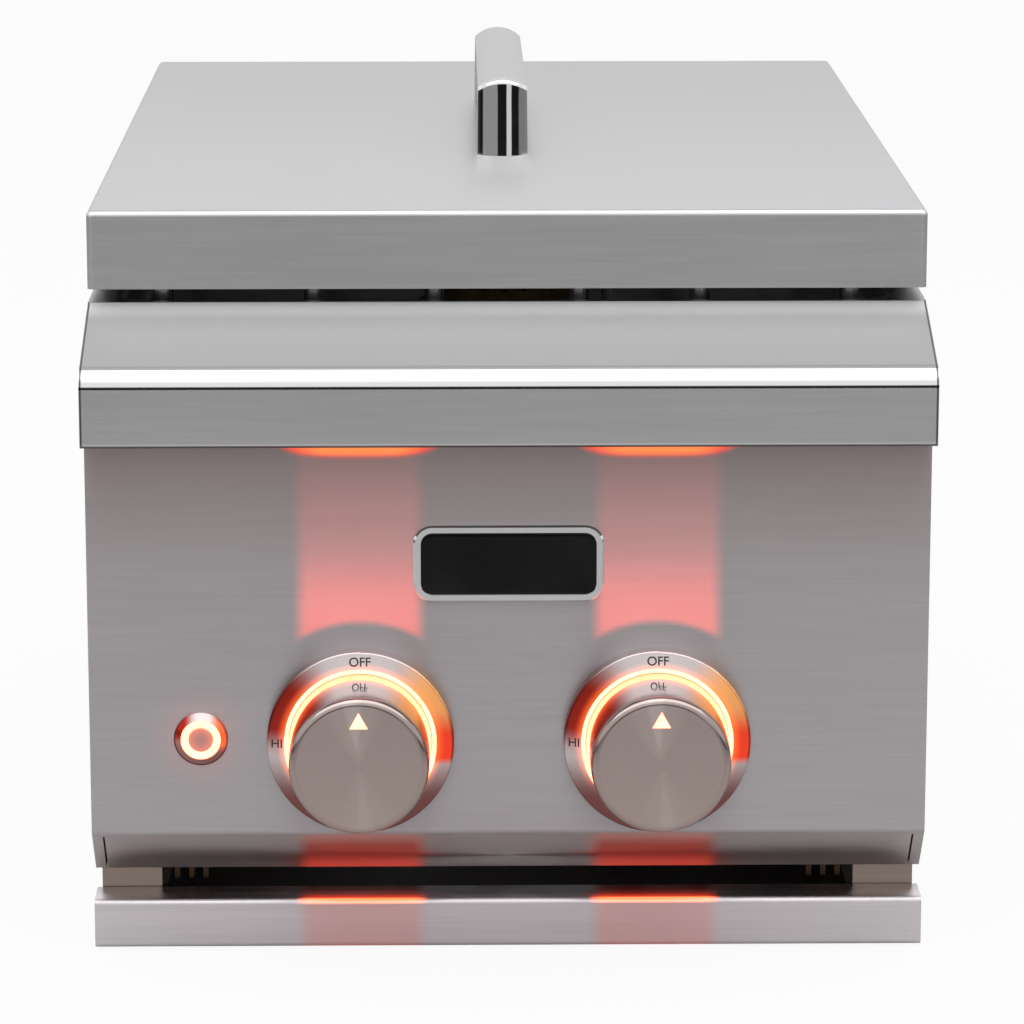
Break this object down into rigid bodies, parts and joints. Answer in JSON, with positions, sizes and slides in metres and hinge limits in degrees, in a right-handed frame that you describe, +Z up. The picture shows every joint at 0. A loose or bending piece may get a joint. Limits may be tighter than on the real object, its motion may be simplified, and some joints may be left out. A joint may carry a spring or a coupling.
{
  "type": "side burner",
  "caption": "Built-in stainless side burner: folded casing with a counter flange, lift-off lid with a bridge handle, lit push-and-turn knobs, a lit switch and a pull-out drip tray.",
  "frame": {"origin": "on the floor under the middle of the object's box", "axes": "+Z up, the controls face -Y, +X to the user's right"},
  "size_m": [0.344, 0.5982, 0.3407],
  "materials": {
    "lid_steel": "brushed stainless, grain across the front",
    "panel_steel": "brushed stainless, grain across the front",
    "casing_steel": "mill-finish stainless sheet",
    "well_steel": "pressed stainless, satin",
    "polished_steel": "polished stainless",
    "knob_steel": "spun stainless face, polished side",
    "grate_rod": "stainless rod",
    "brass": "turned brass",
    "pipe": "zinc-plated pipe",
    "burner_tube": "stainless tube",
    "lit_lens": "lit translucent light guide",
    "moulding": "black heat-resistant moulding",
    "board": "white-masked circuit board",
    "ceramic": "glazed ceramic",
    "rubber": "moulded rubber"
  },
  "bodies": {
    "chassis": {"air_baffle": "casing_steel", "badge_plate": "polished_steel", "control_panel": "panel_steel", "deck_pan": "well_steel", "front_burner_cap": "brass", "front_burner_head": "brass", "front_burner_tube": "burner_tube", "front_grate": "grate_rod", "front_header": "casing_steel", "front_igniter": "ceramic", "front_trim": "panel_steel", "gas_inlet_fitting": "brass", "gas_manifold": "pipe", "gas_supply_tube": "pipe", "left_bezel": "polished_steel", "left_front_post": "casing_steel", "left_injector": "brass", "left_light_board": "board", "left_light_ring": "lit_lens", "left_side_panel": "casing_steel", "left_tray_runner": "casing_steel", "left_valve_body": "brass", "manifold_brackets": "casing_steel", "manifold_plugs": "pipe", "power_gland": "rubber", "rear_burner_cap": "brass", "rear_burner_head": "brass", "rear_burner_tube": "burner_tube", "rear_grate": "grate_rod", "rear_igniter": "ceramic", "rear_panel": "casing_steel", "right_bezel": "polished_steel", "right_front_post": "casing_steel", "right_injector": "brass", "right_light_board": "board", "right_light_ring": "lit_lens", "right_side_panel": "casing_steel", "right_tray_runner": "casing_steel", "right_valve_body": "brass", "switch_housing": "knob_steel", "switch_light_ring": "lit_lens", "switch_nut": "pipe"},
    "lid": {"lid_shell": "lid_steel", "lid_handle": "polished_steel", "handle_screws": "polished_steel", "lid_pads": "rubber"},
    "drip_tray": {"drip_tray_front": "panel_steel", "drip_tray_pan": "well_steel"},
    "light_switch": {"switch_cap": "knob_steel"},
    "left_push": {"left_thrust_collar": "brass"},
    "left_knob": {"left_valve_stem": "knob_steel", "left_knob_hub": "moulding", "left_knob_shell": "knob_steel", "left_pointer_lens": "lit_lens"},
    "right_push": {"right_thrust_collar": "brass"},
    "right_knob": {"right_valve_stem": "knob_steel", "right_knob_hub": "moulding", "right_knob_shell": "knob_steel", "right_pointer_lens": "lit_lens"}
  },
  "joints": [
    {"name": "lid_lift", "type": "slide", "parent": "chassis", "child": "lid", "axis": [0, 0, 1], "range_m": [0, 0.15]},
    {"name": "tray_slide", "type": "slide", "parent": "chassis", "child": "drip_tray", "axis": [0, -1, 0], "range_m": [0, 0.38]},
    {"name": "switch_press", "type": "slide", "parent": "chassis", "child": "light_switch", "axis": [0, 1, 0], "range_m": [0, 0.0015], "stiffness_N_per_m": 1500},
    {"name": "left_knob_push", "type": "slide", "parent": "chassis", "child": "left_push", "axis": [0, 1, 0], "range_m": [0, 0.003], "stiffness_N_per_m": 2000},
    {"name": "left_knob_turn", "type": "hinge", "parent": "left_push", "child": "left_knob", "pos_m": [-0.0608, -0.2539, 0.093], "axis": [0, -1, 0], "range_deg": [0, 180]},
    {"name": "right_knob_push", "type": "slide", "parent": "chassis", "child": "right_push", "axis": [0, 1, 0], "range_m": [0, 0.003], "stiffness_N_per_m": 2000},
    {"name": "right_knob_turn", "type": "hinge", "parent": "right_push", "child": "right_knob", "pos_m": [0.0608, -0.2539, 0.093], "axis": [0, -1, 0], "range_deg": [0, 180]}
  ]
}
